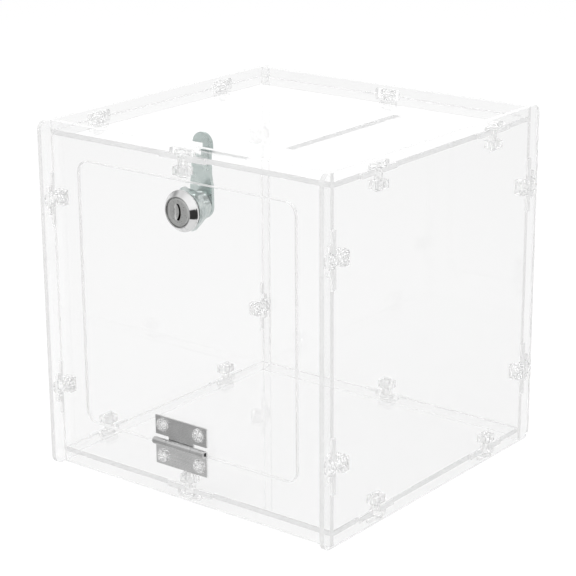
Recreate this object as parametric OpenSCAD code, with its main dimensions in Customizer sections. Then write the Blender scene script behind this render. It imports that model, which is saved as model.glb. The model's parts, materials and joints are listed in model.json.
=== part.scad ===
// Clear donation box: six sheets joined by tabs and cross bolts, a drop-down
// front door on a butt hinge, a cam lock whose hook rises through the top sheet,
// and a paper slot in the top. Millimetres, +Z up, the door faces -Y.

/* [Box] */
// Height of the walls
box_h = 200; // [180:1:260]
// Width over the two side sheets
box_w = 195; // [180:1:260]
// Depth of the side sheets
box_d = 200; // [180:1:260]
// Sheet thickness
t = 3; // [3:0.5:4]
// How far the side sheets stand past the front and back sheets
rim_y = 7; // [6:0.5:12]
// How far the walls stand past the top and bottom sheets
rim_z = 5.5; // [5:0.5:10]
// Radius of the side sheets' outer corners
corner_r = 5; // [1:0.5:10]

/* [Tab joints] */
// Length of one tab along its edge
tab_l = 31; // [24:1:36]
// Gap between a tab and its slot, all round
tab_gap = 0.05; // [0.02:0.01:0.2]
// Distance of the upright joints from mid-height
joint_z = 55; // [40:1:65]
// Distance of the side joints of the top and bottom from mid-depth
joint_y = 53.5; // [40:0.5:60]
// Web between a tab slot and its nut window
web = 3.2; // [2:0.1:4]
// Gap between a cross bolt and the notches it lies in
bolt_gap = 0.2; // [0.1:0.05:0.4]

/* [Cross bolts] */
// Shank diameter
bolt_d = 5; // [4:0.5:6]
// Head diameter
head_d = 9; // [8:0.1:13]
// Head thickness
head_h = 3; // [2:0.1:4]
// Width of the screwdriver slot
drive_w = 1.2; // [0.8:0.1:1.6]
// Depth of the screwdriver slot
drive_h = 1; // [0.6:0.1:1.5]
// Width of the window round a head
window_w = 16.4; // [14:0.1:20]
// Corner radius of the window round a head
window_r = 1.5; // [0.5:0.1:2.5]
// Width of the square nut
nut_w = 8.4; // [7.5:0.1:10]
// Height of the square nut
nut_h = 4.6; // [3:0.1:5]
// Shank beyond the nut
bolt_end = 1.3; // [0.5:0.1:2]

/* [Paper slot] */
// Length, front to back
slot_l = 98; // [60:1:140]
// Width
slot_w = 5; // [3:0.5:12]
// Offset from the middle, to the right
slot_x = 36.5; // [-60:0.5:60]

/* [Door] */
// Width of the door opening
door_w = 149.6; // [120:0.1:155]
// Offset of the opening from the middle
door_x = -0.4; // [-2:0.1:2]
// Height of the lower edge of the opening
door_z0 = 29.3; // [29.2:0.1:40]
// Distance from the upper edge of the opening to the top of the walls
door_drop = 19.2; // [19:0.1:30]
// Corner radius of the opening
door_r = 7; // [3:0.5:15]
// Gap between the door and the opening
kerf = 0.4; // [0.3:0.05:0.8]

/* [Hinge] */
// Leaf length along the pin
hinge_l = 36.2; // [34:0.1:50]
// Offset from the middle
hinge_x = -4.2; // [-20:0.1:20]
// Height of the pin above the lower edge of the opening
pin_rise = 2.4; // [2.2:0.1:3]
// Leaf thickness
leaf_t = 1.1; // [1:0.1:1.5]
// Knuckle outside diameter
knuckle_d = 4.2; // [4:0.1:4.2]
// Pin diameter
pin_d = 2; // [1.8:0.1:2.2]
// How far the pin stands out at the left end
pin_out = 0.4; // [0:0.1:3]
// How far the pin stops short of the right end
pin_short = 2.5; // [0:0.1:5]
// Length of the middle knuckle
mid_l = 17.6; // [12:0.1:20]
// Distance from the pin to the upper leaf's top edge
leaf_up = 14.5; // [14:0.1:18]
// Distance from the pin to the lower leaf's bottom edge
leaf_down = 13.7; // [12.5:0.1:13.8]
// Distance from the pin to the upper leaf's own bottom edge
leaf_gap = 3.5; // [3:0.1:4]
// Distance of the screws from the middle of the leaf
screw_x = 12.8; // [10:0.1:13]
// Height of the upper screws above the pin
screw_up = 9.7; // [8.5:0.1:10]
// Distance of the lower screws below the pin
screw_down = 8.2; // [8:0.1:8.8]

/* [Leaf screws] */
// Shank diameter
screw_d = 4; // [3:0.1:4]
// Head diameter
pan_d = 8; // [6:0.1:8]
// Head height
pan_h = 2; // [1.5:0.1:3]

/* [Lock] */
// Distance from the lock axis to the upper edge of the opening
lock_drop = 16.1; // [14:0.1:20]
// Offset of the lock axis from the middle
lock_x = 0.2; // [-1:0.1:1]
// Bezel outside diameter
bezel_d = 22.6; // [22:0.1:26]
// Bezel height in front of the door
bezel_h = 4.4; // [4:0.1:6]
// Barrel diameter
barrel_d = 16; // [15:0.5:19]
// Distance over the two flats of the barrel
barrel_flats = 14.6; // [13.5:0.1:14.8]
// Diameter of the turning face
face_d = 16; // [14:0.1:18]
// Diameter of the plug inside the barrel
plug_d = 12; // [11:0.1:12.4]
// Size of the plug's square tail
tail_w = 7; // [6:0.1:8]
// Height of the keyhole
key_h = 10.2; // [8:0.1:10.4]
// Width of the keyhole
key_w = 2.5; // [1.5:0.1:3]
// Distance from the front of the door to the cam
cam_y = 16; // [15.5:0.5:20]
// Size of the lock nut across its flats
lock_nut_w = 20.5; // [18:0.5:22]
// Thickness of the lock nut
lock_nut_h = 4.4; // [3:0.1:6]

/* [Cam] */
// Cam thickness
cam_t = 2; // [1.5:0.1:2.5]
// Width of the upper part
cam_w = 12.8; // [11:0.1:14]
// Width of the lower part
cam_foot = 15; // [14:0.1:17]
// How far the tip stands above the walls
cam_out = 3.6; // [3:0.1:5]
// Distance from the cam's middle to the floor of the hook notch
hook_x = 0.5; // [0:0.1:1]
// Gap between the cam and the edges of its slot in the top
cam_gap = 1.2; // [0.8:0.1:1.5]

/* [Hidden] */
$fn = 32;
e = 0.01;
fit = 0.05;                     // radial clearance of a shaft in its hole
xs = box_w/2;                   // outer face of a side sheet
xi = xs - t;                    // inner face of a side sheet
yf = -box_d/2 + rim_y;          // front face of the front sheet
yb = -yf;                       // rear face of the back sheet
yi = yf + t;                    // inner face of the front sheet
zt = box_h - rim_z;             // upper face of the top sheet
zb = rim_z;                     // lower face of the bottom sheet
notch_w = bolt_d + 2*bolt_gap;
notch_d = (t + notch_w)/2;      // depth of the bolt notch in a tab
door_z1 = box_h - door_drop;
pin_y = yf - knuckle_d/2 - fit;
pin_z = door_z0 + pin_rise;
end_l = (hinge_l - mid_l)/2 - 0.15; // length of an outer knuckle
lock_z = door_z1 - lock_drop;
plug_r = plug_d/2;
lip_y = -bezel_h + 2.2;         // floor of the recess round the turning face
wafer_y = 0.6;                  // first wafer slot, and the step to the next
wafer_step = 2.3;
wafer_t = 0.9;
cam_y0 = yf + cam_y;            // front face of the cam
cam_l = box_h + cam_out - lock_z;
notch_z0 = zt - t - lock_z - 2; // lower edge of the hook notch, from the axis
notch_z1 = zt - lock_z + 3.3;   // upper edge
cam_slot_x0 = lock_x + hook_x - 0.4;
cam_slot_x1 = lock_x + sqrt(pow(cam_l, 2) - pow(notch_z0, 2)) + cam_gap;
clear_c = [0.90, 0.95, 0.97, 0.35];
steel_c = [0.66, 0.68, 0.70];
zinc_c = [0.74, 0.78, 0.76];
chrome_c = [0.85, 0.86, 0.87];
brass_c = [0.80, 0.66, 0.36];

// ---- outlines -------------------------------------------------------------

module rounded_rect(x0, y0, x1, y1, r) {
  translate([x0 + r, y0]) square([x1 - x0 - 2*r, y1 - y0]);
  translate([x0, y0 + r]) square([x1 - x0, y1 - y0 - 2*r]);
  for (x = [x0 + r, x1 - r], y = [y0 + r, y1 - r]) translate([x, y]) circle(r);
}

// rectangle centred on x, from y0 to y1
module bar(w, y0, y1) translate([-w/2, y0]) square([w, y1 - y0]);

// openings in a wall for one joint: the crossing sheet lies from 0 to t, the
// bolt head below it and the square nut above
module joint_cut() {
  bar(tab_l + 2*tab_gap, -tab_gap, t + tab_gap);
  rounded_rect(-window_w/2, -head_h - 0.3, window_w/2, 2*window_r - head_h, window_r);
  bar(window_w, window_r - head_h, 0);
  bar(notch_w, 0, t + web + nut_h + bolt_end + 0.15);
  bar(nut_w + 0.4, t + web, t + web + nut_h + 0.15);
}

// a tab at the edge of a sheet, which lies on the negative side, and its notch
module tab() bar(tab_l, -e, t);
module tab_notch() bar(notch_w, t - notch_d, t + e);

// the four upright edges of a wall, seen from the front
module at_uprights() for (s = [-1, 1], z = [-joint_z, joint_z])
  translate([s*xi, box_h/2 + z]) rotate(-90*s) children();
// the six tabs of the top or bottom sheet, seen from above
module at_deck_tabs() {
  for (s = [-1, 1], y = [-joint_y, joint_y]) translate([s*xi, y]) rotate(-90*s) children();
  for (s = [0, 1]) rotate(180*s) translate([0, -yi]) children();
}
// one joint at each of the two places where a wall meets the top and bottom
module at_decks() {
  translate([0, zt]) mirror([0, 1]) children();
  translate([0, zb]) children();
}

module side_profile() difference() {
  rounded_rect(-box_d/2, 0, box_d/2, box_h, corner_r);
  for (z = [-joint_z, joint_z]) {
    translate([yf, box_h/2 + z]) rotate(-90) joint_cut();
    translate([yb, box_h/2 + z]) rotate(90) joint_cut();
  }
  for (y = [-joint_y, joint_y]) translate([y, 0]) at_decks() joint_cut();
}

module wall_profile() difference() {
  union() {
    bar(2*xi, 0, box_h);
    at_uprights() tab();
  }
  at_uprights() tab_notch();
  at_decks() joint_cut();
}

module deck_profile() difference() {
  union() {
    bar(2*xi, yi, -yi);
    at_deck_tabs() tab();
  }
  at_deck_tabs() tab_notch();
}

// ---- sheets ---------------------------------------------------------------

// a sheet in the YZ plane with its lower x face at x0
module yz_sheet(x0) translate([x0, 0, 0]) rotate([90, 0, 90]) linear_extrude(t) children();
// a sheet in the XZ plane with its front face at y0
module xz_sheet(y0) translate([0, y0 + t, 0]) rotate([90, 0, 0]) linear_extrude(t) children();

module left_panel() color(clear_c) yz_sheet(-xs) side_profile();
module right_panel() color(clear_c) yz_sheet(xi) side_profile();

module front_panel() color(clear_c) xz_sheet(yf) difference() {
  wall_profile();
  rounded_rect(door_x - door_w/2, door_z0, door_x + door_w/2, door_z1, door_r);
  leaf_holes(pin_z - screw_down);
}
module back_panel() color(clear_c) xz_sheet(yb - t) wall_profile();

module top_panel() color(clear_c) translate([0, 0, zt - t]) linear_extrude(t) difference() {
  deck_profile();
  translate([slot_x, 0]) bar(slot_w, -slot_l/2, slot_l/2);
  translate([cam_slot_x0, cam_y0 - cam_gap]) square([cam_slot_x1 - cam_slot_x0, cam_t + 2*cam_gap]);
}
module bottom_panel() color(clear_c) translate([0, 0, zb]) linear_extrude(t) deck_profile();

module door_panel() color(clear_c) xz_sheet(yf) difference() {
  rounded_rect(door_x - door_w/2 + kerf, door_z0 + kerf,
    door_x + door_w/2 - kerf, door_z1 - kerf, door_r - kerf);
  translate([lock_x, lock_z]) barrel_outline(0.15);
  leaf_holes(pin_z + screw_up);
}

// ---- cross bolts and square nuts ------------------------------------------

// one bolt: its head under the crossing sheet, its shank running up
module bolt() difference() {
  union() {
    translate([0, 0, -head_h]) cylinder(d = head_d, h = head_h);
    translate([0, 0, -e]) cylinder(d = bolt_d, h = t + web + nut_h + bolt_end + e);
  }
  translate([-head_d, -drive_w/2, -head_h - 1]) cube([2*head_d, drive_w, drive_h + 1]);
}
module nut() translate([0, 0, t + web]) linear_extrude(nut_h) difference() {
  square(nut_w, center = true);
  circle(d = bolt_d + 2*fit);
}

module at_wall_joints(y, turn) for (s = [-1, 1], z = [-joint_z, joint_z])
  translate([s*(xs - t/2), y, box_h/2 + z]) rotate([turn, 0, 0]) children();
module at_deck_joints(z, turn) translate([0, 0, z]) rotate([turn, 0, 0]) {
  for (s = [-1, 1], y = [-joint_y, joint_y]) translate([s*(xs - t/2), y, 0]) rotate(90) children();
  for (s = [-1, 1]) translate([0, s*(yb - t/2), 0]) children();
}

module bolts_front() color(clear_c) at_wall_joints(yf, -90) bolt();
module bolts_back() color(clear_c) at_wall_joints(yb, 90) bolt();
module bolts_top() color(clear_c) at_deck_joints(zt, 180) bolt();
module bolts_bottom() color(clear_c) at_deck_joints(zb, 0) bolt();
module nuts_front() color(clear_c) at_wall_joints(yf, -90) nut();
module nuts_back() color(clear_c) at_wall_joints(yb, 90) nut();
module nuts_top() color(clear_c) at_deck_joints(zt, 180) nut();
module nuts_bottom() color(clear_c) at_deck_joints(zb, 0) nut();

// ---- hinge ----------------------------------------------------------------

module leaf_holes(z) for (s = [-1, 1]) translate([hinge_x + s*screw_x, z]) circle(d = screw_d + 2*fit);

// a cylinder on the pin's axis, from x0 to x1
module on_pin(x0, x1, d) translate([x0, pin_y, pin_z]) rotate([0, 90, 0]) cylinder(d = d, h = x1 - x0);

// flat stock against the front of the box: x is its middle
module leaf_plate(x, w, z0, z1) translate([x - w/2, yf - leaf_t, z0]) cube([w, leaf_t, z1 - z0]);

module leaf_drill(z) translate([0, yf + 1, 0]) rotate([90, 0, 0]) linear_extrude(leaf_t + 2) leaf_holes(z);

module hinge_lower_leaf() color(steel_c) difference() {
  union() {
    leaf_plate(hinge_x, hinge_l, pin_z - leaf_down, pin_z - knuckle_d/2 - 0.2);
    for (s = [-1, 1]) {
      x = hinge_x + s*(hinge_l - end_l)/2;
      leaf_plate(x, end_l, pin_z - leaf_down + 1, pin_z);
      on_pin(x - end_l/2, x + end_l/2, knuckle_d);
    }
  }
  on_pin(hinge_x - hinge_l, hinge_x + hinge_l, pin_d + 0.04);
  leaf_drill(pin_z - screw_down);
}

module hinge_upper_leaf() color(steel_c) difference() {
  union() {
    leaf_plate(hinge_x, hinge_l, pin_z + leaf_gap, pin_z + leaf_up);
    leaf_plate(hinge_x, mid_l, pin_z, pin_z + leaf_up - 1);
    on_pin(hinge_x - mid_l/2, hinge_x + mid_l/2, knuckle_d);
  }
  on_pin(hinge_x - hinge_l, hinge_x + hinge_l, pin_d + 2*fit);
  leaf_drill(pin_z + screw_up);
}

module hinge_pin() color(chrome_c)
  on_pin(hinge_x - hinge_l/2 - pin_out, hinge_x + hinge_l/2 - pin_short, pin_d);

// pan-head screw seated at 0, its shank running down through the leaf and stopping inside the sheet
grip = leaf_t + t;
module cross(l, w, h) for (a = [0, 90]) rotate(a) translate([-l/2, -w/2, 0]) cube([l, w, h]);
module leaf_screw() difference() {
  union() {
    rotate_extrude() polygon([[0, 0], [pan_d/2, 0], [pan_d/2, pan_h/2], [pan_d/2 - 0.7, pan_h], [0, pan_h]]);
    translate([0, 0, -grip + 0.2]) cylinder(d = screw_d, h = grip - 0.2 + e);
  }
  translate([0, 0, pan_h - 0.9]) cross(pan_d*0.65, 0.8, 2);
}
module at_leaf(z) for (s = [-1, 1]) translate([hinge_x + s*screw_x, yf - leaf_t, z]) rotate([90, 0, 0]) children();

module screws_frame() color(clear_c) at_leaf(pin_z - screw_down) leaf_screw();
module screws_door() color(clear_c) at_leaf(pin_z + screw_up) leaf_screw();

// ---- lock -----------------------------------------------------------------

// the lock axis, +Z running back from the front of the door
module on_lock() translate([lock_x, yf, lock_z]) rotate([-90, 0, 0]) children();

module barrel_outline(gap) intersection() {
  circle(d = barrel_d + 2*gap);
  bar(barrel_flats + 2*gap, -barrel_d, barrel_d);
}

module lock_housing() color(chrome_c) on_lock() {
  rotate_extrude() polygon([[plug_r + fit, lip_y], [face_d/2 + fit, lip_y],
    [face_d/2 + fit, -bezel_h], [face_d/2 + 0.6, -bezel_h], [bezel_d/2 - 0.5, -1.7],
    [bezel_d/2, -1.2], [bezel_d/2, 0], [plug_r + fit, 0]]);
  translate([0, 0, -e]) linear_extrude(cam_y - 0.1 + e) difference() {
    barrel_outline(0);
    circle(plug_r + fit);
  }
}

module ring(d, bore, z, h) translate([0, 0, z]) difference() {
  cylinder(d = d, h = h);
  translate([0, 0, -1]) cylinder(d = bore, h = h + 2);
}
module lock_washer() color(zinc_c) on_lock() ring(21, barrel_d + 2*fit, t, 0.8);
module lock_nut() color(zinc_c) on_lock() translate([0, 0, t + 0.8]) difference() {
  rotate(12) cylinder(d = lock_nut_w/cos(30), h = lock_nut_h, $fn = 6);
  translate([0, 0, -1]) cylinder(d = barrel_d + 2*fit, h = lock_nut_h + 2);
}

module lock_plug() color(steel_c) on_lock() difference() {
  union() {
    translate([0, 0, -bezel_h + 0.3]) cylinder(d = face_d, h = lip_y - 0.1 + bezel_h - 0.3);
    translate([0, 0, lip_y - 0.2]) cylinder(d = plug_d, h = cam_y - lip_y + 0.2);
    translate([-tail_w/2, -tail_w/2, cam_y - e]) cube([tail_w, tail_w, cam_t + e]);
  }
  translate([-key_w/2, -key_h/2, -bezel_h]) cube([key_w, key_h, bezel_h + cam_y - 3.6]);
  for (i = [0:4]) translate([-3.2, -plug_d/2 - 1, wafer_y + i*wafer_step]) cube([6.4, plug_d + 2, wafer_t + 0.1]);
  translate([0, 0, cam_y - 2.4]) cylinder(d = screw_d + 2*fit, h = 10);
}

// five wafers, each with a window for the key and a nook for its spring
module at_wafers() for (i = [0:4]) translate([0, 0, wafer_y + 0.05 + i*wafer_step]) children();
module lock_wafers() color(brass_c) on_lock() at_wafers() linear_extrude(wafer_t) difference() {
  bar(6.2, -5.1, 4.9);
  bar(3.2, -3.2, 2.8);
  translate([-2.4, 0]) bar(1.5, 3.6, 5);
}
module wafer_springs() color(steel_c) on_lock() at_wafers()
  translate([-2.4, 3.65, wafer_t/2]) rotate([-90, 0, 0]) cylinder(d = 0.8, h = 1.6, $fn = 16);

// hook cam pointing up, its notch open to the left
module cam() color(zinc_c) translate([lock_x, cam_y0 + cam_t, lock_z]) rotate([90, 0, 0])
  linear_extrude(cam_t) difference() {
    union() {
      circle(d = cam_foot);
      polygon([[cam_foot/2, 0], [cam_foot/2, 11], [cam_w/2, 17], [cam_w/2, cam_l - cam_w/2],
        [-cam_w/2, cam_l - cam_w/2], [-cam_w/2, 17], [-cam_foot/2, 11], [-cam_foot/2, 0]]);
      translate([0, cam_l - cam_w/2]) circle(d = cam_w);
    }
    bar(tail_w + 2*fit, -tail_w/2 - fit, tail_w/2 + fit);
    translate([hook_x - cam_w, notch_z0]) square([cam_w, notch_z1 - notch_z0]);
  }

module cam_washer() color(zinc_c) on_lock() ring(11, screw_d + 2*fit, cam_y + cam_t, 0.8);
module cam_screw() color(zinc_c) on_lock() difference() {
  union() {
    translate([0, 0, cam_y + cam_t + 0.8]) cylinder(d = 7.6, h = 2.4);
    translate([0, 0, cam_y - 2.3]) cylinder(d = screw_d, h = cam_t + 3.2);
  }
  translate([0, 0, cam_y + cam_t + 2]) cross(4.8, 0.9, 3);
}

left_panel();
right_panel();
front_panel();
back_panel();
top_panel();
bottom_panel();
bolts_front();
bolts_back();
bolts_top();
bolts_bottom();
nuts_front();
nuts_back();
nuts_top();
nuts_bottom();
door_panel();
hinge_lower_leaf();
hinge_pin();
hinge_upper_leaf();
screws_frame();
screws_door();
lock_housing();
lock_washer();
lock_nut();
lock_plug();
lock_wafers();
wafer_springs();
cam();
cam_washer();
cam_screw();
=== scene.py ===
import json
import math

import bmesh
import bpy
from mathutils import Matrix, Vector

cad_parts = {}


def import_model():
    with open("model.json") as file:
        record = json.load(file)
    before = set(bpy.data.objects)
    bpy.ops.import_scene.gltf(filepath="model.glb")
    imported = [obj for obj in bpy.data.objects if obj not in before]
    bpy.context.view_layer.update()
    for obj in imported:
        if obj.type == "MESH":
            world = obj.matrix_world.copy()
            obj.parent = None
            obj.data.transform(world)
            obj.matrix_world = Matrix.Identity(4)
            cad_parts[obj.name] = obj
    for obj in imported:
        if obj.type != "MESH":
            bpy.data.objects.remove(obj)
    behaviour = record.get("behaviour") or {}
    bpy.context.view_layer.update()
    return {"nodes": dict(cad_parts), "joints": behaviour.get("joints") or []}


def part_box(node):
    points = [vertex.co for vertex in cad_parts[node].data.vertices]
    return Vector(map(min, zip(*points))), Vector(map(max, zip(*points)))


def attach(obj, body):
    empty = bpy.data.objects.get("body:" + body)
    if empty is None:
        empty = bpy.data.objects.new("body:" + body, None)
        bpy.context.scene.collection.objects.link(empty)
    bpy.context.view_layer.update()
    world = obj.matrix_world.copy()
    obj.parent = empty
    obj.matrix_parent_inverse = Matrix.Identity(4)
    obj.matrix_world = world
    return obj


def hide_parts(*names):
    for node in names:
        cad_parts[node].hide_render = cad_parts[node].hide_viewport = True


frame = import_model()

MM = 0.001
GAP = 0.03 * MM             # air left between clear pieces that touch
X, Y, Z = Vector((1, 0, 0)), Vector((0, 1, 0)), Vector((0, 0, 1))


# ---- what the frame says -----------------------------------------------------

def joint(name):
    return next(j for j in frame["joints"] if j["name"] == name)


def solid_mesh(node):
    """A CAD node as a clean bmesh: seams merged and flat faces whole."""
    bm = bmesh.new()
    bm.from_mesh(frame["nodes"][node].data)
    bmesh.ops.remove_doubles(bm, verts=bm.verts, dist=0.002 * MM)
    bmesh.ops.dissolve_limit(bm, angle_limit=math.radians(0.4), verts=bm.verts, edges=bm.edges)
    return bm


def solid_boxes(node):
    """(lowest, highest) corner of each separate solid in a CAD node."""
    bm = solid_mesh(node)
    left = set(bm.verts)
    boxes = []
    while left:
        todo = [left.pop()]
        found = list(todo)
        while todo:
            for edge in todo.pop().link_edges:
                for v in edge.verts:
                    if v in left:
                        left.remove(v)
                        todo.append(v)
                        found.append(v)
        boxes.append((Vector([min(v.co[i] for v in found) for i in range(3)]),
                      Vector([max(v.co[i] for v in found) for i in range(3)])))
    bm.free()
    return boxes


def knuckle_spans(node, pin_y):
    """(lowest, highest) x of each stretch in which a hinge leaf reaches round the front of the pin."""
    vertices = frame["nodes"][node].data.vertices
    xs = sorted({round(v.co.x, 6) for v in vertices if v.co.y < pin_y - 1.5 * MM})
    return list(zip(xs[::2], xs[1::2]))


def axis_matrix(origin, direction):
    """Puts local +Z on direction, with its foot at origin."""
    return Matrix.Translation(origin) @ direction.to_track_quat("Z", "Y").to_matrix().to_4x4()


# ---- mesh building -----------------------------------------------------------

def thread_depth(z, a, pitch):
    """0 at a crest and 1 at a root of a right-hand thread."""
    return abs(2 * ((z / pitch - a / math.tau) % 1) - 1)


def turned(rows, n=48, closed=False):
    """A body of revolution about +Z. A row is (z, r) or (z, r, shape), where shape(z, a, r) gives the radius
    at angle a. closed joins the last row to the first, for a ring or a nut."""
    bm = bmesh.new()
    rings = []
    angles = [math.tau * i / n for i in range(n)]
    for row in rows:
        z, r = row[:2]
        shape = row[2] if len(row) > 2 else (lambda z, a, r: r)
        if r < 1e-7:
            rings.append([bm.verts.new((0, 0, z))])
            continue
        reach = [shape(z, a, r) for a in angles]
        rings.append([bm.verts.new((d * math.cos(a), d * math.sin(a), z)) for a, d in zip(angles, reach)])
    bands = list(zip(rings, rings[1:]))
    if closed:
        bands.append((rings[-1], rings[0]))
    for low, high in bands:
        for i in range(n):
            k = (i + 1) % n
            corners = [low[i % len(low)], low[k % len(low)], high[k % len(high)], high[i % len(high)]]
            unique = list(dict.fromkeys(corners))
            if len(unique) > 2:
                bm.faces.new(unique)
    bmesh.ops.recalc_face_normals(bm, faces=bm.faces)
    return bm


def prism(outline, length):
    """An outline in XY pulled along +Z."""
    bm = bmesh.new()
    base = bm.faces.new([bm.verts.new((x, y, 0)) for x, y in outline])
    top = bmesh.ops.extrude_face_region(bm, geom=[base])["geom"]
    bmesh.ops.translate(bm, verts=[v for v in top if isinstance(v, bmesh.types.BMVert)], vec=(0, 0, length))
    bmesh.ops.recalc_face_normals(bm, faces=bm.faces)
    return bm


def block(lo, hi):
    """A box between two corners."""
    bm = bmesh.new()
    bmesh.ops.create_cube(bm, size=1)
    for v in bm.verts:
        v.co = Vector([lo[i] if v.co[i] < 0 else hi[i] for i in range(3)])
    return bm


def moved(bm, matrix):
    bmesh.ops.transform(bm, matrix=matrix, verts=bm.verts)
    return bm


def joined(parts):
    """Several bmeshes as one."""
    whole = bmesh.new()
    for bm in parts:
        mesh = bpy.data.meshes.new("part")
        bm.to_mesh(mesh)
        bm.free()
        whole.from_mesh(mesh)
        bpy.data.meshes.remove(mesh)
    return whole


def copies(bm, matrices):
    """One bmesh repeated at each matrix."""
    parts = [moved(bm.copy(), m) for m in matrices]
    bm.free()
    return joined(parts)


def shrunk(bm, gap=GAP):
    """Every face moved inward by gap."""
    bm.normal_update()
    shifts = {}
    for v in bm.verts:
        shift = Vector((0, 0, 0))
        for n in [f.normal for f in v.link_faces]:
            left = gap + shift.dot(n)
            if left > gap * 0.01:
                shift -= n * left
        shifts[v] = shift
    for v, shift in shifts.items():
        v.co += shift
    return bm


def eased(bm, width, segments=2, angle=25):
    """Sharp edges broken by a small bevel."""
    edges = [e for e in bm.edges if e.is_manifold and e.calc_face_angle(0) > math.radians(angle)]
    bmesh.ops.bevel(bm, geom=edges, offset=width, segments=segments, profile=0.5,
                    affect="EDGES", clamp_overlap=True)
    return bm


def boolean(bm, tools, operation="DIFFERENCE"):
    """bm cut by, or joined with, each tool in turn."""
    obj = bpy.data.objects.new("work", bpy.data.meshes.new("work"))
    bm.to_mesh(obj.data)
    bm.free()
    bpy.context.scene.collection.objects.link(obj)
    for tool_mesh in tools:
        tool = bpy.data.objects.new("tool", bpy.data.meshes.new("tool"))
        tool_mesh.to_mesh(tool.data)
        tool_mesh.free()
        bpy.context.scene.collection.objects.link(tool)
        mod = obj.modifiers.new("cut", "BOOLEAN")
        mod.object = tool
        mod.operation = operation
        mod.solver = "EXACT"
        dg = bpy.context.evaluated_depsgraph_get()
        mesh = bpy.data.meshes.new_from_object(obj.evaluated_get(dg), depsgraph=dg)
        obj.modifiers.clear()
        obj.data = mesh
        bpy.data.objects.remove(tool)
    out = bmesh.new()
    out.from_mesh(obj.data)
    bpy.data.objects.remove(obj)
    bmesh.ops.remove_doubles(out, verts=out.verts, dist=0.001 * MM)
    return out


def piece(name, bm, body, nodes, slot, *materials, smooth=22):
    """Adds a finished piece that stands for CAD nodes and rides on their body."""
    for f in bm.faces:
        f.smooth = True
    for e in bm.edges:
        e.smooth = e.is_manifold and e.calc_face_angle(0) < math.radians(smooth)
    mesh = bpy.data.meshes.new(name)
    bm.to_mesh(mesh)
    bm.free()
    obj = bpy.data.objects.new(name, mesh)
    bpy.context.scene.collection.objects.link(obj)
    for m in materials:
        mesh.materials.append(m)
    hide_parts(*nodes)
    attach(obj, body)
    return obj


# ---- materials ---------------------------------------------------------------

class Nodes:
    """A material's node tree, with short ways to add and link nodes."""

    def __init__(self, name):
        self.material = bpy.data.materials.new(name)
        self.material.use_nodes = True
        self.tree = self.material.node_tree
        self.bsdf = self.tree.nodes["Principled BSDF"]
        self.output = self.tree.nodes["Material Output"]

    def add(self, kind, inputs=None, **values):
        node = self.tree.nodes.new(kind)
        for key, value in values.items():
            setattr(node, key, value)
        for key, value in (inputs or {}).items():
            self.feed(node.inputs[key], value)
        return node

    def feed(self, socket, value):
        if isinstance(value, bpy.types.NodeSocket):
            self.tree.links.new(value, socket)
        else:
            socket.default_value = value

    def set(self, **values):
        for key, value in values.items():
            self.feed(self.bsdf.inputs[key.replace("_", " ")], value)

    def coords(self, scale=(1, 1, 1)):
        place = self.add("ShaderNodeTexCoord").outputs["Object"]
        return self.add("ShaderNodeMapping", {"Vector": place, "Scale": scale}).outputs["Vector"]

    def noise(self, scale, detail=3.0, stretch=(1, 1, 1)):
        return self.add("ShaderNodeTexNoise", {"Vector": self.coords(stretch), "Scale": scale,
                                               "Detail": detail}).outputs["Fac"]

    def ramp(self, value, low, high, start=0.3, stop=0.7):
        return self.add("ShaderNodeMapRange", {"Value": value, "From Min": start, "From Max": stop,
                                               "To Min": low, "To Max": high}).outputs["Result"]

    def mix_colour(self, fac, a, b):
        node = self.add("ShaderNodeMix", data_type="RGBA")
        self.feed(node.inputs["Factor"], fac)
        self.feed(node.inputs["A"], a)
        self.feed(node.inputs["B"], b)
        return node.outputs["Result"]

    def bump(self, height, distance, strength=1.0):
        return self.add("ShaderNodeBump", {"Height": height, "Distance": distance,
                                           "Strength": strength}).outputs["Normal"]


def grey(v):
    return (v, v, v, 1)


def clear_material(name, tint, roughness, clear=1.0, specular=0.5, faint=0.0, ripple=0.0, ripple_size=400,
                   lines=None):
    """See-through plastic, cloudy where clear is below 1; faint is the share seen straight through. Lamps
    shine through it, so that what it holds is lit."""
    n = Nodes(name)
    smudge = n.noise(55, detail=5)
    n.set(Base_Color=tint, Transmission_Weight=clear, IOR=1.49, Specular_IOR_Level=specular,
          Roughness=n.ramp(smudge, roughness[0], roughness[1], 0.45, 0.75))
    if lines:
        height = n.noise(lines[0], detail=2, stretch=lines[1])
        n.set(Normal=n.bump(height, ripple))
    elif ripple:
        n.set(Normal=n.bump(n.noise(ripple_size, detail=2), ripple))
    path = n.add("ShaderNodeLightPath")
    soft = n.add("ShaderNodeMath", {0: path.outputs["Is Shadow Ray"], 1: path.outputs["Is Diffuse Ray"]},
                 operation="MAXIMUM")
    open_air = n.add("ShaderNodeBsdfTransparent", {"Color": grey(0.973)})
    share = n.add("ShaderNodeMath", {0: soft.outputs[0], 1: faint}, operation="MAXIMUM")
    mix = n.add("ShaderNodeMixShader", {0: share.outputs[0], 1: n.bsdf.outputs[0], 2: open_air.outputs[0]})
    n.tree.links.new(mix.outputs[0], n.output.inputs["Surface"])
    return n.material


def metal_material(name, low, high, roughness, patch=120, streak=None, bump=0.0, scratch=0.0):
    """Metal whose colour and roughness wander, with optional brushing along one axis and fine scratches."""
    n = Nodes(name)
    cloud = n.noise(patch, detail=4)
    n.set(Metallic=1.0, Base_Color=n.mix_colour(n.ramp(cloud, 0, 1), low, high))
    height = n.noise(900, detail=3)
    rough = n.ramp(cloud, roughness[0], roughness[1])
    if streak:
        height = n.noise(1.0, detail=4, stretch=streak)
        rough = n.ramp(height, roughness[0], roughness[1])
    n.set(Roughness=rough)
    if bump:
        n.set(Normal=n.bump(height, bump))
    if scratch:
        fine = n.noise(1.0, detail=2, stretch=(2600, 2600, 180))
        n.set(Normal=n.bump(n.ramp(fine, 0, 1, 0.62, 0.7), scratch))
    return n.material


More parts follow.
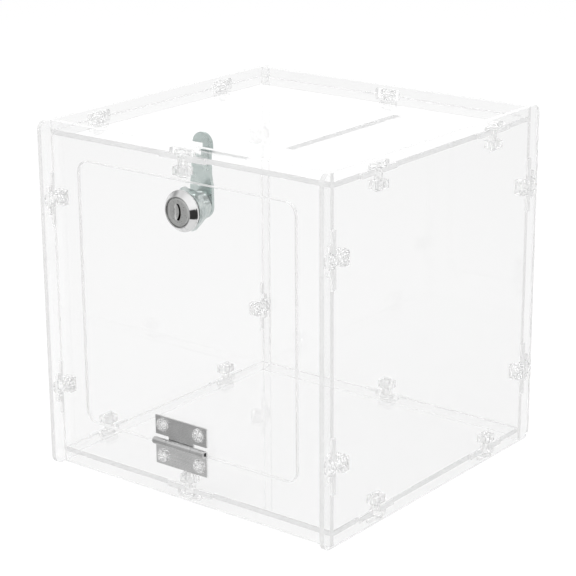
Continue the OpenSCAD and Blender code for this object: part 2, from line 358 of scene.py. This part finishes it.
BRUSHING = (60, 4000, 4000)  # stretched along X, the hinge's length

SHEET = clear_material("clear_sheet", grey(0.993), (0.0, 0.012), ripple=0.00001, ripple_size=30)
EDGE = clear_material("cut_edge", grey(0.785), (0.05, 0.13), clear=0.36, specular=0.25, ripple=0.00004,
                      lines=(1.0, (2200, 2200, 500)))
MOULDED = clear_material("moulded_plastic", grey(0.933), (0.05, 0.14), clear=0.8, faint=0.3, ripple=0.00002,
                         ripple_size=700)
BRUSHED = metal_material("brushed_hinge", grey(0.58), grey(0.70), (0.22, 0.34), streak=BRUSHING, bump=0.000004)
# A lighter copy of the brushed hinge steel for the lower leaf's plate: painted light on that leaf.
LEAF_PAINTED_LIGHTER = metal_material("hinge_leaf_painted_lighter", grey(0.80), grey(0.92), (0.22, 0.34), streak=BRUSHING, bump=0.000004)
PIN = metal_material("pin_steel", grey(0.55), grey(0.68), (0.18, 0.3))
CHROME = metal_material("chrome_plate", grey(0.72), grey(0.80), (0.05, 0.09), scratch=0.000002)
SATIN = metal_material("satin_plate", (0.61, 0.615, 0.605, 1), (0.67, 0.675, 0.665, 1), (0.26, 0.34),
                       patch=600, bump=0.000006)
# Near-black metal on the keyway's inner walls: painted shade for the dark inside of the deep slot.
SHADED = metal_material("keyway_painted_shade", grey(0.06), grey(0.12), (0.4, 0.55))
ZINC = metal_material("zinc_plate", (0.47, 0.535, 0.52, 1), (0.56, 0.62, 0.605, 1), (0.18, 0.30),
                      patch=180, bump=0.000004)
BLUED = metal_material("bright_zinc", (0.46, 0.51, 0.50, 1), (0.62, 0.665, 0.655, 1), (0.14, 0.24),
                       patch=260, bump=0.000004)
BRASS = metal_material("stamped_brass", (0.62, 0.44, 0.18, 1), (0.72, 0.54, 0.25, 1), (0.25, 0.4))


# ---- sheets ------------------------------------------------------------------

def sheet(name, node, body, thin):
    """A cut sheet; thin is the axis of its thickness. Its broad faces are polished and its edges are cut."""
    bm = eased(shrunk(solid_mesh(node)), 0.18 * MM)
    bm.normal_update()
    for f in bm.faces:
        f.material_index = 0 if abs(f.normal.dot(thin)) > 0.8 else 1
    return piece(name, bm, body, [node], "clear_sheet", SHEET, EDGE)


sheet("side_sheet_left", "left_panel", "box", X)
sheet("side_sheet_right", "right_panel", "box", X)
sheet("front_sheet", "front_panel", "box", Y)
sheet("back_sheet", "back_panel", "box", Y)
sheet("top_sheet", "top_panel", "box", Z)
sheet("bottom_sheet", "bottom_panel", "box", Z)
sheet("door_sheet", "door_panel", "door", Y)


# ---- cross bolts and square nuts ---------------------------------------------

BOLT_R = 2.5 * MM
HEAD_H = 3.0 * MM           # of a bolt's head
THREAD = 0.8 * MM           # pitch of the bolts' thread
THREAD_H = 0.32 * MM


def along(box, direction):
    """Size of a box along a direction, and the middle of the end that the direction leaves from."""
    lo, hi = box
    size = sum(abs(direction[i]) * (hi[i] - lo[i]) for i in range(3))
    return size, (lo + hi) / 2 - direction * size / 2


def threaded(z0, z1, r, depth, pitch):
    """Rows of a threaded length that fades in and out over half a turn."""
    def shape(z, a, r):
        fade = max(0, min(1, (z - z0) / pitch * 2, (z1 - z) / pitch * 2))
        return r - depth * (1 - fade) - depth * fade * thread_depth(z, a, pitch)
    count = max(4, int(abs(z1 - z0) / pitch * 5))
    return [(z0 + (z1 - z0) * i / count, r, shape) for i in range(count + 1)]


def cross_bolt(length, head_r):
    """Slotted disc head on the negative side of 0 and a threaded shank of length on the positive side."""
    slot_half, slot_depth = 0.6 * MM, 1.0 * MM
    rows = [(-HEAD_H, 0), (-HEAD_H, head_r * 0.5), (-HEAD_H + 0.06 * MM, head_r - 1.2 * MM),
            (-HEAD_H + 0.22 * MM, head_r - 0.5 * MM), (-HEAD_H + 0.6 * MM, head_r - 0.1 * MM),
            (-HEAD_H + 1.0 * MM, head_r), (-0.5 * MM, head_r), (-0.15 * MM, head_r - 0.15 * MM),
            (-GAP, head_r - 0.45 * MM), (-GAP, BOLT_R + 0.1 * MM), (0.2 * MM, BOLT_R - THREAD_H)]
    rows += threaded(0.4 * MM, length - 0.7 * MM, BOLT_R - 0.03 * MM, THREAD_H, THREAD)
    rows += [(length - 0.4 * MM, BOLT_R - THREAD_H - 0.1 * MM), (length - GAP, BOLT_R - 0.9 * MM),
             (length - GAP, 0)]
    slot = block((-head_r * 2, -slot_half, -HEAD_H - MM), (head_r * 2, slot_half, -HEAD_H + slot_depth))
    return boolean(turned(rows, 40), [eased(slot, 0.2 * MM)])


def sided(sides, width):
    """A shape that trims a round row to a polygon of the given width across its flats."""
    step = math.tau / sides

    def shape(z, a, r):
        return min(r, width / 2 / math.cos((a + step / 2) % step - step / 2))
    return shape


def square_nut(width, height):
    """A square nut with bevelled rims, broken corners and a threaded bore, standing on 0."""
    r, bevel = width * 0.69, 0.35 * MM
    bore = BOLT_R + 0.06 * MM
    outer, middle, inner = [sided(4, width - 2 * cut * bevel) for cut in (0, 0.3, 1)]
    rows = [(GAP, bore + 0.35 * MM), (GAP, r - bevel, inner), (bevel * 0.3, r - 0.3 * bevel, middle),
            (bevel, r, outer), (height / 2, r, outer), (height - bevel, r, outer),
            (height - bevel * 0.3, r - 0.3 * bevel, middle), (height - GAP, r - bevel, inner),
            (height - GAP, bore + 0.35 * MM), (height - 0.4 * MM, bore), (height / 2, bore), (0.4 * MM, bore)]
    return turned(rows, 96, closed=True)


def joint_hardware(side, direction):
    """The bolts and nuts of one side of the box; direction runs from a bolt's head along its shank."""
    boxes = solid_boxes("bolts_" + side)
    bolts = [along(b, direction) for b in boxes]
    lo, hi = boxes[0]
    head_r = min(hi[i] - lo[i] for i in range(3)) / 2
    length, _ = bolts[0]
    bolt = cross_bolt(length - HEAD_H, head_r)
    turn = Matrix.Rotation(math.radians(20), 4, "Z")
    seats = [axis_matrix(end + direction * HEAD_H, direction) @ turn for _, end in bolts]
    piece("cross_bolts_" + side, copies(bolt, seats), "box", ["bolts_" + side], "clear_hardware", MOULDED)
    boxes = solid_boxes("nuts_" + side)
    nuts = [along(b, direction) for b in boxes]
    lo, hi = boxes[0]
    height, _ = nuts[0]
    nut = square_nut(max(hi[i] - lo[i] for i in range(3)), height)
    seats = [axis_matrix(end, direction) for _, end in nuts]
    piece("square_nuts_" + side, copies(nut, seats), "box", ["nuts_" + side], "clear_hardware", MOULDED)


joint_hardware("front", Y)
joint_hardware("back", -Y)
joint_hardware("top", -Z)
joint_hardware("bottom", Z)


# ---- hinge -------------------------------------------------------------------

PIN_AT = Vector(joint("door_hinge")["pos_m"])
LEAF_T = 1.1 * MM
SCREW_R = 2.0 * MM          # of the shanks that go through the leaves
KNUCKLE_R = PIN_AT.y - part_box("hinge_lower_leaf")[0].y
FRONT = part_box("front_panel")[0].y


def drill(z0, z1):
    """A rod that cuts a hole for one of the small screws."""
    r = SCREW_R + 0.05 * MM
    return turned([(z0, 0), (z0, r), (z1, r), (z1, 0)], 32)


def cross_recess(top, arm, half, width):
    """Tools that cut a cross into a screw head whose top is at top."""
    deep = top - 1.1 * MM
    arms = [(arm, half), (half, arm)]
    return [eased(block((-a, -b, deep), (a, b, top + MM)), width) for a, b in arms]


def curl(x0, x1, side):
    """The sheet of a leaf rolled round the pin: side is 1 for a leaf above the pin and -1 below it."""
    inner, steps, sweep = KNUCKLE_R - LEAF_T + 0.06 * MM, 40, math.radians(292)
    angles = [sweep * i / steps for i in range(steps + 1)]
    ring = [(KNUCKLE_R * math.cos(a), -side * KNUCKLE_R * math.sin(a)) for a in angles]
    ring += [(inner * math.cos(a), -side * inner * math.sin(a)) for a in angles[::-1]]
    bm = prism(ring, x1 - x0)
    turn = Matrix(((0, 0, 1, x0), (1, 0, 0, PIN_AT.y), (0, 1, 0, PIN_AT.z), (0, 0, 0, 1)))
    return moved(bm, turn)


def leaf(name, node, body, side, knuckles, holes, metal):
    """A flat leaf with drilled holes, its tongues and its rolled knuckles."""
    lo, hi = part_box(node)
    back = FRONT - GAP
    front = FRONT - LEAF_T
    far, clear = (hi.z, 3.5 * MM) if side > 0 else (lo.z, 2.3 * MM)
    z0, z1 = sorted((far, PIN_AT.z + side * clear))
    plate = block((lo.x, front, z0), (hi.x, back, z1))
    z0, z1 = sorted((PIN_AT.z, far - side * MM))
    tongues = [block((a, front, z0), (b, back, z1)) for a, b in knuckles]
    drills = [moved(drill(0, 6 * MM), axis_matrix(Vector((x, FRONT + 2 * MM, z)), -Y)) for x, z in holes]
    bm = boolean(plate, tongues, "UNION")
    bm = boolean(bm, drills)
    bmesh.ops.dissolve_limit(bm, angle_limit=math.radians(1), verts=bm.verts, edges=bm.edges)
    eased(bm, 0.12 * MM)
    rolls = joined([eased(curl(a, b, side), 0.2 * MM, angle=50) for a, b in knuckles])
    for f in rolls.faces:
        f.material_index = 1
    return piece(name, joined([bm, rolls]), body, [node], "hinge_steel", metal, BRUSHED)


def leaf_screw(length, head_r, head_h):
    """Pan head on the positive side of 0, with a cross recess, and a threaded shank on the negative side."""
    angles = [math.radians(90 * i / 10) for i in range(10)]
    dome = [(head_h * math.sin(a) + 0.15 * MM, head_r * math.cos(a) ** 0.55) for a in angles]
    rows = [(-length, 0), (-length, SCREW_R - 0.6 * MM), (-length + 0.3 * MM, SCREW_R - 0.3 * MM)]
    rows += threaded(-length + 0.5 * MM, -0.3 * MM, SCREW_R - 0.03 * MM, 0.26 * MM, 0.7 * MM)
    rows += [(GAP, SCREW_R + 0.1 * MM), (GAP, head_r - 0.2 * MM)] + dome + [(head_h, 0)]
    return boolean(turned(rows, 40), cross_recess(head_h, 2.3 * MM, 0.5 * MM, 0.2 * MM))


def leaf_hardware(where, body):
    """Screws through a leaf into the sheet behind it, each turned differently."""
    node = "screws_" + where
    boxes = solid_boxes(node)
    lo, hi = boxes[0]
    head_r = (hi.z - lo.z) / 2
    seats = []
    for lo, hi in boxes:
        at = Vector(((lo.x + hi.x) / 2, FRONT - LEAF_T, (lo.z + hi.z) / 2))
        seats.append(axis_matrix(at, -Y) @ Matrix.Rotation(at.x * 900 + at.z * 300, 4, "Z"))
    lo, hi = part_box(node)
    screw = leaf_screw(hi.y - FRONT + LEAF_T, head_r, FRONT - LEAF_T - lo.y)
    piece("leaf_" + node, copies(screw, seats), body, [node], "clear_hardware", MOULDED)


def screw_points(where):
    """(x, z) of each screw through a leaf."""
    return [((lo.x + hi.x) / 2, (lo.z + hi.z) / 2) for lo, hi in solid_boxes("screws_" + where)]


leaf("hinge_leaf_upper", "hinge_upper_leaf", "door", 1, knuckle_spans("hinge_upper_leaf", PIN_AT.y),
     screw_points("door"), BRUSHED)
# The lower leaf's plate takes the lighter copy of the hinge steel, painted light.
leaf("hinge_leaf_lower", "hinge_lower_leaf", "box", -1, knuckle_spans("hinge_lower_leaf", PIN_AT.y),
     screw_points("frame"), LEAF_PAINTED_LIGHTER)
leaf_hardware("frame", "box")
leaf_hardware("door", "door")

pin_lo, pin_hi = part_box("hinge_pin")
pin_r = (pin_hi.z - pin_lo.z) / 2
pin_l = pin_hi.x - pin_lo.x
pin = turned([(0, 0), (0, pin_r - 0.35 * MM), (0.12 * MM, pin_r - 0.1 * MM), (0.4 * MM, pin_r),
              (pin_l - 0.4 * MM, pin_r), (pin_l - 0.12 * MM, pin_r - 0.1 * MM), (pin_l, pin_r - 0.35 * MM),
              (pin_l, 0)], 32)
pin = moved(pin, axis_matrix(Vector((pin_lo.x, PIN_AT.y, PIN_AT.z)), X))
piece("hinge_pin_rod", pin, "box", ["hinge_pin"], "hinge_steel", PIN)


# ---- lock --------------------------------------------------------------------

LOCK = Vector(joint("lock_turn")["pos_m"])
ON_LOCK = axis_matrix(Vector((LOCK.x, FRONT, LOCK.z)), Y)
BEZEL_R = (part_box("lock_housing")[1].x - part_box("lock_housing")[0].x) / 2
BEZEL_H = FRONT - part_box("lock_housing")[0].y
BARREL_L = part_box("lock_housing")[1].y - FRONT
FACE_R = (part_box("lock_plug")[1].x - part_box("lock_plug")[0].x) / 2
FACE_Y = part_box("lock_plug")[0].y - FRONT
BARREL_R = 8.0 * MM
BARREL_BORE = BARREL_R + 0.05 * MM  # of the washer and nut on the barrel
PLUG_R = 6.0 * MM
FLAT = 7.3 * MM             # half the distance over the barrel's flats
KEYWAY_END = 11.8 * MM
NUT_TURN = math.radians(12)  # of the hexagonal nut, from where one corner points level


def housing():
    """Bezel with a coned rim and a barrel with a fine thread and two flats."""
    pitch = 1.0 * MM
    thread = threaded(0.6 * MM, BARREL_L - 0.5 * MM, BARREL_R, 0.55 * MM, pitch)

    def flat(shape):
        def with_flats(z, a, r):
            return min(shape(z, a, r), FLAT / max(1e-6, abs(math.cos(a))))
        return with_flats

    bore = PLUG_R + 0.05 * MM
    lip = FACE_R + 0.05 * MM
    rows = [(-2.6 * MM, bore), (-2.6 * MM, lip), (-BEZEL_H + 0.3 * MM, lip),
            (-BEZEL_H + 0.05 * MM, FACE_R + 0.15 * MM), (-BEZEL_H, FACE_R + 0.3 * MM),
            (-BEZEL_H + 0.1 * MM, FACE_R + 0.6 * MM), (-1.95 * MM, BEZEL_R - 0.75 * MM),
            (-1.7 * MM, BEZEL_R - 0.5 * MM), (-1.45 * MM, BEZEL_R - 0.22 * MM),
            (-1.1 * MM, BEZEL_R - 0.03 * MM), (-0.8 * MM, BEZEL_R), (-0.3 * MM, BEZEL_R),
            (-GAP, BEZEL_R - 0.25 * MM), (-GAP, BARREL_R + 0.3 * MM),
            (0.3 * MM, BARREL_R - 0.4 * MM, flat(lambda z, a, r: r))]
    rows += [(z, r, flat(shape)) for z, r, shape in thread]
    rows += [(BARREL_L, BARREL_R - 0.7 * MM), (BARREL_L, bore), (6 * MM, bore)]
    bm = turned(rows, 96, closed=True)
    for f in bm.faces:
        f.material_index = 1 if f.calc_center_median().z > 0.2 * MM else 0
    return bm


def keyhole(depth):
    """A crescent-shaped keyway: an upright slot bowed to the right of the lock's face."""
    high, half, bow = 4.5 * MM, 0.9 * MM, 1.2 * MM
    steps = 16
    rise = [-high + 2 * high * i / steps for i in range(steps + 1)]
    bend = [0.3 * MM - bow * (1 - (y / high) ** 2) for y in rise]
    right = [(x - half, y) for x, y in zip(bend, rise)]
    left = [(x + half, y) for x, y in zip(bend, rise)]
    return prism(left + right[::-1], depth)


def dish(at, size):
    """An ellipsoid that leaves a shallow oval dish."""
    bm = bmesh.new()
    bmesh.ops.create_uvsphere(bm, u_segments=40, v_segments=20, radius=1)
    return moved(bm, Matrix.Translation(at) @ Matrix.Diagonal((*size, 1)))


def plug():
    """Turning face with a fine rim, its keyway in an oval dish, and the plug and square tail behind."""
    back_y = FACE_Y + 1.8 * MM
    floor_y = FACE_Y + 0.18 * MM
    end = 16.0 * MM
    tail = 3.5 * MM
    rows = [(floor_y, 0), (floor_y, FACE_R - 2.2 * MM), (FACE_Y + 0.05 * MM, FACE_R - 1.9 * MM),
            (FACE_Y, FACE_R - 1.5 * MM), (FACE_Y + 0.05 * MM, FACE_R - 1.0 * MM),
            (FACE_Y + 0.3 * MM, FACE_R - 0.55 * MM), (FACE_Y + 1.2 * MM, FACE_R - 0.3 * MM),
            (back_y - 0.2 * MM, FACE_R), (back_y, FACE_R), (back_y, PLUG_R), (end, PLUG_R), (end, 0)]
    body = turned(rows, 96)
    square = eased(block((-tail, -tail, end - 0.5 * MM), (tail, tail, end + 2 * MM)), 0.2 * MM)
    body = boolean(body, [square], "UNION")
    hollow = dish(Vector((0.4 * MM, 0, floor_y - 0.5 * MM)), (2.6 * MM, 5.2 * MM, 1.4 * MM))
    entry = moved(keyhole(3.2 * MM), Matrix.Translation((0, 0, FACE_Y - MM)))
    way = block((-1.1 * MM, -4.6 * MM, FACE_Y + 1.9 * MM), (1.1 * MM, 4.6 * MM, KEYWAY_END))
    slots = [block((-3.2 * MM, -7 * MM, z * MM), (3.2 * MM, 7 * MM, (z + 1.0) * MM))
             for z in [0.6 + 2.3 * i for i in range(5)]]
    bm = boolean(body, [hollow, entry, way] + slots + [drill(13.6 * MM, 20 * MM)])
    bm.normal_update()
    # Faces inside the keyway, outside the dish, take the second material, the near-black SHADED metal: painted
    # shade in the slot.
    for f in bm.faces:
        spot = f.calc_center_median()
        in_keyway = floor_y + 0.01 * MM < spot.z < KEYWAY_END + 0.1 * MM and spot.xy.length < 5.5 * MM
        in_dish = f.normal.z < -0.3 and spot.z < floor_y + 1.1 * MM
        f.material_index = 1 if in_keyway and not in_dish else 0
    return bm


def washer(bore, r, z0, height):
    """A flat ring with a broken outer edge."""
    edge = 0.12 * MM
    rows = [(z0, bore), (z0, r - edge), (z0 + edge, r), (z0 + height - edge, r), (z0 + height, r - edge),
            (z0 + height, bore)]
    return turned(rows, 64, closed=True)


def hex_nut(r, height, bore):
    """A hexagonal nut standing on 0, with chamfered corners at a distance of r and a bore."""
    width = r * math.sqrt(3)
    six = sided(6, width)
    edge = 0.6 * MM
    rows = [(0, bore + 0.35 * MM), (0, width / 2 - 0.1 * MM), (edge, r, six), (height - edge, r, six),
            (height, width / 2 - 0.1 * MM), (height, bore + 0.35 * MM), (height - 0.35 * MM, bore),
            (0.35 * MM, bore)]
    return turned(rows, 96, closed=True)


def spring(length):
    """A small coil standing along +Y from the origin."""
    r, wire, turns, sides = 0.32 * MM, 0.07 * MM, 5, 6
    steps = turns * 14
    bm = bmesh.new()
    rings = []
    for i in range(steps + 1):
        a = math.tau * turns * i / steps
        centre = Vector((r * math.cos(a), length * i / steps, r * math.sin(a)))
        out = Vector((math.cos(a), 0, math.sin(a)))
        rings.append([bm.verts.new(centre + wire * (out * math.cos(b) + Y * math.sin(b)))
                      for b in [math.tau * k / sides for k in range(sides)]])
    for low, high in zip(rings, rings[1:]):
        for k in range(sides):
            bm.faces.new([low[k], low[(k + 1) % sides], high[(k + 1) % sides], high[k]])
    bm.faces.new(rings[0])
    bm.faces.new(rings[-1])
    bmesh.ops.recalc_face_normals(bm, faces=bm.faces)
    return bm


def cam_screw():
    """Round-headed screw that holds the cam, its head away from the plug."""
    lo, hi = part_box("cam_screw")
    top = hi.y - FRONT
    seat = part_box("cam_washer")[1].y - FRONT
    r = (hi.x - lo.x) / 2
    start = lo.y - FRONT
    rows = [(start, 0), (start, SCREW_R - 0.6 * MM)]
    rows += threaded(start + 0.3 * MM, seat - 0.2 * MM, SCREW_R - 0.03 * MM, 0.25 * MM, 0.7 * MM)
    rows += [(seat, SCREW_R), (seat, r - 0.1 * MM), (seat + 0.3 * MM, r), (top - 0.9 * MM, r - 0.1 * MM),
             (top - 0.35 * MM, r - 0.7 * MM), (top - 0.05 * MM, r - 1.8 * MM), (top, 0)]
    return boolean(turned(rows, 40), cross_recess(top, 2.4 * MM, 0.45 * MM, 0.15 * MM))


def lock_piece(name, bm, body, node, slot, *materials):
    """Adds a piece that was built along the lock's axis, from the front of the door."""
    return piece(name, moved(bm, ON_LOCK), body, [node], slot, *materials)


lock_piece("lock_bezel_barrel", housing(), "door", "lock_housing", "lock_chrome", CHROME, BLUED)
lo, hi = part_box("lock_washer")
ring = washer(BARREL_BORE, (hi.x - lo.x) / 2, lo.y - FRONT + GAP, 0.77 * MM)
lock_piece("lock_washer_ring", ring, "door", "lock_washer", "zinc_plate", BLUED)
lo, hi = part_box("lock_nut")
big_nut = moved(hex_nut((hi.x - lo.x) / 2 / math.cos(NUT_TURN), hi.y - lo.y, BARREL_BORE),
                Matrix.Translation((0, 0, lo.y - FRONT)) @ Matrix.Rotation(NUT_TURN + math.pi / 6, 4, "Z"))
lock_piece("lock_hex_nut", big_nut, "door", "lock_nut", "zinc_plate", BLUED)
lock_piece("lock_plug_face", plug(), "lock_plug", "lock_plug", "lock_satin", SATIN, SHADED)
wafers = eased(solid_mesh("lock_wafers"), 0.08 * MM)
piece("wafer_set", wafers, "lock_plug", ["lock_wafers"], "wafer_brass", BRASS)
upright = Matrix.Rotation(-math.pi / 2, 4, "X")
coils = [moved(spring(hi.z - lo.z), Matrix.Translation(((lo.x + hi.x) / 2, (lo.y + hi.y) / 2, hi.z)) @ upright)
         for lo, hi in solid_boxes("wafer_springs")]
piece("wafer_spring_set", joined(coils), "lock_plug", ["wafer_springs"], "spring_steel", PIN, smooth=80)
piece("hook_cam", eased(solid_mesh("cam"), 0.25 * MM), "lock_plug", ["cam"], "zinc_plate", ZINC)
lo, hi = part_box("cam_washer")
ring = washer(SCREW_R + 0.05 * MM, (hi.x - lo.x) / 2, lo.y - FRONT, hi.y - lo.y)
lock_piece("cam_washer_ring", ring, "lock_plug", "cam_washer", "zinc_plate", ZINC)
lock_piece("cam_fixing_screw", cam_screw(), "lock_plug", "cam_screw", "zinc_plate", ZINC)


# ---- stage, light and camera -------------------------------------------------

def floor():
    """A pale floor that glows a little, so that it blends into the studio and isn't mirrored."""
    bm = bmesh.new()
    bmesh.ops.create_grid(bm, x_segments=1, y_segments=1, size=6)
    mesh = bpy.data.meshes.new("floor")
    bm.to_mesh(mesh)
    bm.free()
    obj = bpy.data.objects.new("floor", mesh)
    bpy.context.scene.collection.objects.link(obj)
    obj.location.z = -0.3 * MM
    obj.visible_glossy = False
    n = Nodes("pale_floor")
    seen = n.add("ShaderNodeLightPath").outputs["Is Camera Ray"]
    n.set(Base_Color=grey(0.30), Roughness=0.9, Specular_IOR_Level=0.0, Emission_Color=grey(1.0),
          Emission_Strength=n.ramp(seen, 0.61, 0.68, 0, 1))
    mesh.materials.append(n.material)


def world(view):
    """A white studio. Straight on it is even; through clear parts it dims towards the camera, at view; and in
    reflections it has a dim side in front and a dark flag low on the right."""
    w = bpy.data.worlds.new("studio")
    bpy.context.scene.world = w
    w.use_nodes = True
    nodes, links = w.node_tree.nodes, w.node_tree.links
    coord = nodes.new("ShaderNodeTexCoord").outputs["Generated"]
    path = nodes.new("ShaderNodeLightPath")

    def feed(socket, value):
        if isinstance(value, bpy.types.NodeSocket):
            links.new(value, socket)
        else:
            socket.default_value = value

    def level(inside, outside, direction, near, far):
        """inside along a direction, and outside once it is further off; near and far are angles in degrees."""
        dot = nodes.new("ShaderNodeVectorMath")
        dot.operation = "DOT_PRODUCT"
        feed(dot.inputs[0], coord)
        feed(dot.inputs[1], Vector(direction).normalized())
        ramp = nodes.new("ShaderNodeMapRange")
        ramp.interpolation_type = "SMOOTHSTEP"
        feed(ramp.inputs["Value"], dot.outputs["Value"])
        feed(ramp.inputs["From Min"], math.cos(math.radians(far)))
        feed(ramp.inputs["From Max"], math.cos(math.radians(near)))
        return choose(ramp.outputs["Result"], outside, inside)

    def choose(fac, a, b):
        mix = nodes.new("ShaderNodeMix")
        feed(mix.inputs["Factor"], fac)
        feed(mix.inputs["A"], a)
        feed(mix.inputs["B"], b)
        return mix.outputs["Result"]

    mirrored = 0.90
    for inside, direction, near, far in (
            (0.50, (-0.59, -0.75, -0.31), 15, 62),      # what the front sheet reflects
            (0.55, (0.59, 0.75, -0.31), 10, 40),        # what the right sheet reflects
            (0.38, (-0.92, 0.22, 0.22), 16, 46),        # the bezel's upper left
            (1.15, (0.47, -0.47, 0.75), 12, 50),        # the bezel's upper right
            (1.35, (-0.59, 0.75, 0.31), 8, 28),         # what the top sheet reflects
            (0.045, (0.87, -0.43, -0.24), 22, 27),      # the dark flag on the bezel's right
            (0.05, (0.56, -0.26, -0.79), 3, 5)):        # a thin dark bar under it
        mirrored = level(inside, mirrored, direction, near, far)
    through = level(0.6, 1.0, view, 10, 100)
    strength = choose(path.outputs["Is Glossy Ray"], 1.0, mirrored)
    strength = choose(path.outputs["Is Transmission Ray"], strength, through)
    feed(nodes["Background"].inputs["Strength"], strength)
    feed(nodes["Background"].inputs["Color"], (1, 1, 1, 1))


def area_light(name, azimuth, elevation, distance, size, power):
    """A soft square lamp aimed at the middle of the box."""
    a, e = math.radians(azimuth), math.radians(elevation)
    away = Vector((math.sin(a) * math.cos(e), -math.cos(a) * math.cos(e), math.sin(e)))
    data = bpy.data.lights.new(name, "AREA")
    data.size = size
    data.energy = power
    obj = bpy.data.objects.new(name, data)
    bpy.context.scene.collection.objects.link(obj)
    obj.visible_glossy = False
    obj.location = Vector((0, 0, 0.1)) + away * distance
    obj.rotation_euler = (-away).to_track_quat("-Z", "Y").to_euler()


def camera():
    """Looks at the box from the front right and a little above."""
    azimuth, elevation, roll = math.radians(38.19), math.radians(17.88), math.radians(-0.35)
    distance = 1.0964
    aim = Vector((-0.0015, -0.0022, 0.0975))            # close to the middle of the box
    back = Vector((math.sin(azimuth) * math.cos(elevation), -math.cos(azimuth) * math.cos(elevation),
                   math.sin(elevation)))
    data = bpy.data.cameras.new("camera")
    data.lens = 121.05
    data.shift_x, data.shift_y = -0.00125, 0.0041
    data.clip_start = 0.05
    obj = bpy.data.objects.new("camera", data)
    bpy.context.scene.collection.objects.link(obj)
    turn = (-back).to_track_quat("-Z", "Y").to_matrix().to_4x4() @ Matrix.Rotation(roll, 4, "Z")
    obj.matrix_world = Matrix.Translation(aim + back * distance) @ turn
    bpy.context.scene.camera = obj
    return back


floor()
world(camera())
area_light("key", -20, 55, 1.6, 1.0, 7)
area_light("side", 110, 35, 1.6, 0.8, 4)

scene = bpy.context.scene
scene.view_settings.view_transform = "Standard"
scene.cycles.max_bounces = 72
scene.cycles.transmission_bounces = 72
scene.cycles.transparent_max_bounces = 40
scene.cycles.glossy_bounces = 68
